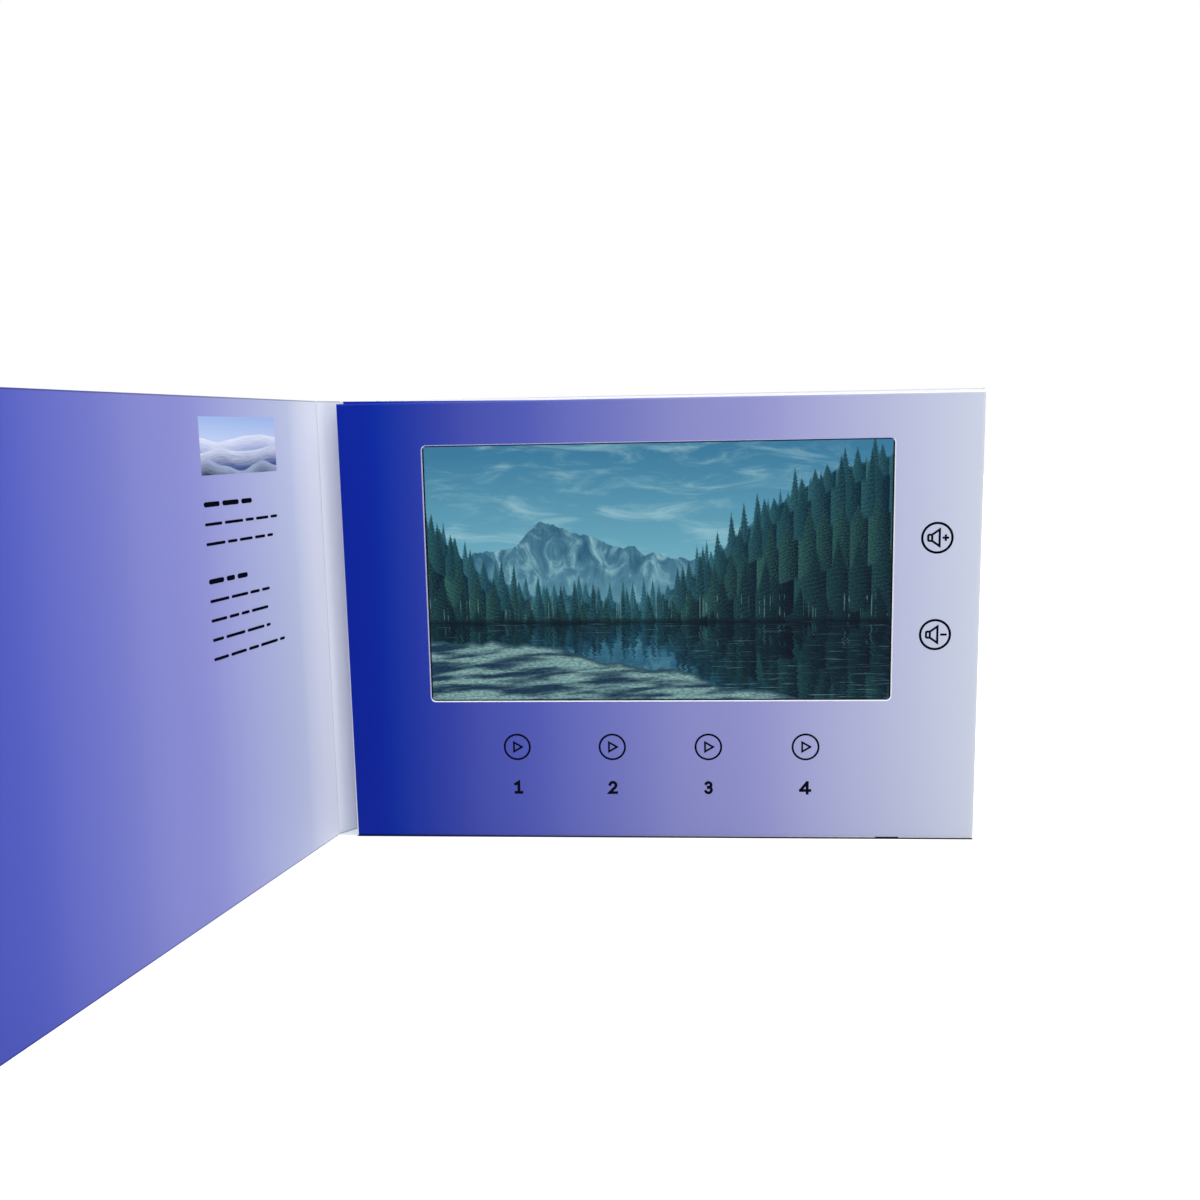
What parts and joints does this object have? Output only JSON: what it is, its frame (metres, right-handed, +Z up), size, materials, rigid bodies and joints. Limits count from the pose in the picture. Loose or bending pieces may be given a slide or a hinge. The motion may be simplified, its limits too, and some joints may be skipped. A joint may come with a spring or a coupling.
{
  "type": "lcd video brochure",
  "caption": "Landscape softcover video brochure: screen block with keys under a printed face and a creased wrap cover that opens and closes over it.",
  "frame": {"origin": "middle of the block's bottom wall, on which the brochure stands", "axes": "+Z up along the creases, +X to the right along the block's face, -Y out of the screen towards the reader"},
  "size_m": [0.2658, 0.2162, 0.1492],
  "materials": {
    "printed_card": "satin coated card printed with a blue to grey-lilac blend",
    "white_card": "satin coated white card",
    "cover_print": "satin coated card printed blue to lilac",
    "lilac_liner": "satin coated sheet printed pale lilac",
    "grey_board": "plain grey board",
    "screen_glass": "lit screen behind a satin film",
    "polarised_film": "satin polarising film over the lit picture",
    "clear_plastic": "clear acrylic",
    "white_plastic": "moulded white plastic",
    "black_plastic": "moulded black plastic",
    "cream_plastic": "moulded cream nylon",
    "board_green": "green solder mask on glass-filled board",
    "flex_amber": "amber polyimide film",
    "steel": "thin stamped steel",
    "magnet_metal": "nickel plated magnet",
    "ferrite": "dark sintered magnet",
    "pouch_foil": "laminated foil pouch",
    "foam": "closed-cell foam sheet",
    "tape": "foam adhesive tape",
    "red_lead": "insulated lead",
    "black_lead": "insulated lead",
    "speaker_paper": "black pressed paper cone"
  },
  "bodies": {
    "block": {"face_tray": "printed_card", "back_panel": "white_card", "screen_tape": "foam", "lcd_bezel": "steel", "front_film": "polarised_film", "lcd_glass": "screen_glass", "diffuser_sheets": "white_plastic", "light_guide": "clear_plastic", "mirror_sheet": "clear_plastic", "lcd_frame": "white_plastic", "led_strip": "flex_amber", "screen_flex": "flex_amber", "main_board": "board_green", "board_chips": "black_plastic", "flex_socket": "cream_plastic", "link_socket": "cream_plastic", "lead_headers": "cream_plastic", "usb_shell": "steel", "usb_tongue": "black_plastic", "battery_cell": "pouch_foil", "battery_wrap": "flex_amber", "battery_pad": "tape", "battery_leads": "red_lead", "speaker_basket": "steel", "speaker_magnet": "ferrite", "speaker_cone": "speaker_paper", "speaker_gasket": "foam", "speaker_leads": "black_lead", "video_key_board": "board_green", "volume_key_board": "board_green", "key_pads": "tape", "board_pads": "tape", "switch_housings": "black_plastic", "switch_domes": "steel", "switch_plates": "steel", "key_ribbon": "cream_plastic", "magnet_sensor": "black_plastic", "front_foam": "foam", "rear_foam": "foam", "back_spacer": "grey_board"},
    "video_key_1": {"video_key_1": "white_plastic"},
    "video_key_2": {"video_key_2": "white_plastic"},
    "video_key_3": {"video_key_3": "white_plastic"},
    "video_key_4": {"video_key_4": "white_plastic"},
    "volume_up_key": {"volume_up_key": "white_plastic"},
    "volume_down_key": {"volume_down_key": "white_plastic"},
    "spine": {"spine_card": "white_card", "spine_liner": "white_card", "rear_crease": "white_card"},
    "cover": {"cover_card": "cover_print", "cover_core": "grey_board", "cover_liner": "lilac_liner", "cover_magnet": "magnet_metal", "front_crease": "white_card"}
  },
  "joints": [
    {"name": "rear_crease_turn", "type": "hinge", "parent": "block", "child": "spine", "pos_m": [-0.1058, 0.0047, 0], "axis": [0, 0, -1], "range_deg": [-40, 50], "deforming": ["rear_crease"]},
    {"name": "front_crease_turn", "type": "hinge", "parent": "spine", "child": "cover", "pos_m": [-0.11258, -0.00338, 0], "axis": [0, 0, -1], "range_deg": [-62.5, 27.5], "deforming": ["front_crease"]},
    {"name": "video_key_1_press", "type": "slide", "parent": "block", "child": "video_key_1", "axis": [0, 1, 0], "range_m": [0, 0.00025], "stiffness_N_per_m": 1500, "springref_m": -0.0006, "deforming": ["switch_domes"]},
    {"name": "video_key_2_press", "type": "slide", "parent": "block", "child": "video_key_2", "axis": [0, 1, 0], "range_m": [0, 0.00025], "stiffness_N_per_m": 1500, "springref_m": -0.0006, "deforming": ["switch_domes"]},
    {"name": "video_key_3_press", "type": "slide", "parent": "block", "child": "video_key_3", "axis": [0, 1, 0], "range_m": [0, 0.00025], "stiffness_N_per_m": 1500, "springref_m": -0.0006, "deforming": ["switch_domes"]},
    {"name": "video_key_4_press", "type": "slide", "parent": "block", "child": "video_key_4", "axis": [0, 1, 0], "range_m": [0, 0.00025], "stiffness_N_per_m": 1500, "springref_m": -0.0006, "deforming": ["switch_domes"]},
    {"name": "volume_up_key_press", "type": "slide", "parent": "block", "child": "volume_up_key", "axis": [0, 1, 0], "range_m": [0, 0.00025], "stiffness_N_per_m": 1500, "springref_m": -0.0006, "deforming": ["switch_domes"]},
    {"name": "volume_down_key_press", "type": "slide", "parent": "block", "child": "volume_down_key", "axis": [0, 1, 0], "range_m": [0, 0.00025], "stiffness_N_per_m": 1500, "springref_m": -0.0006, "deforming": ["switch_domes"]}
  ]
}
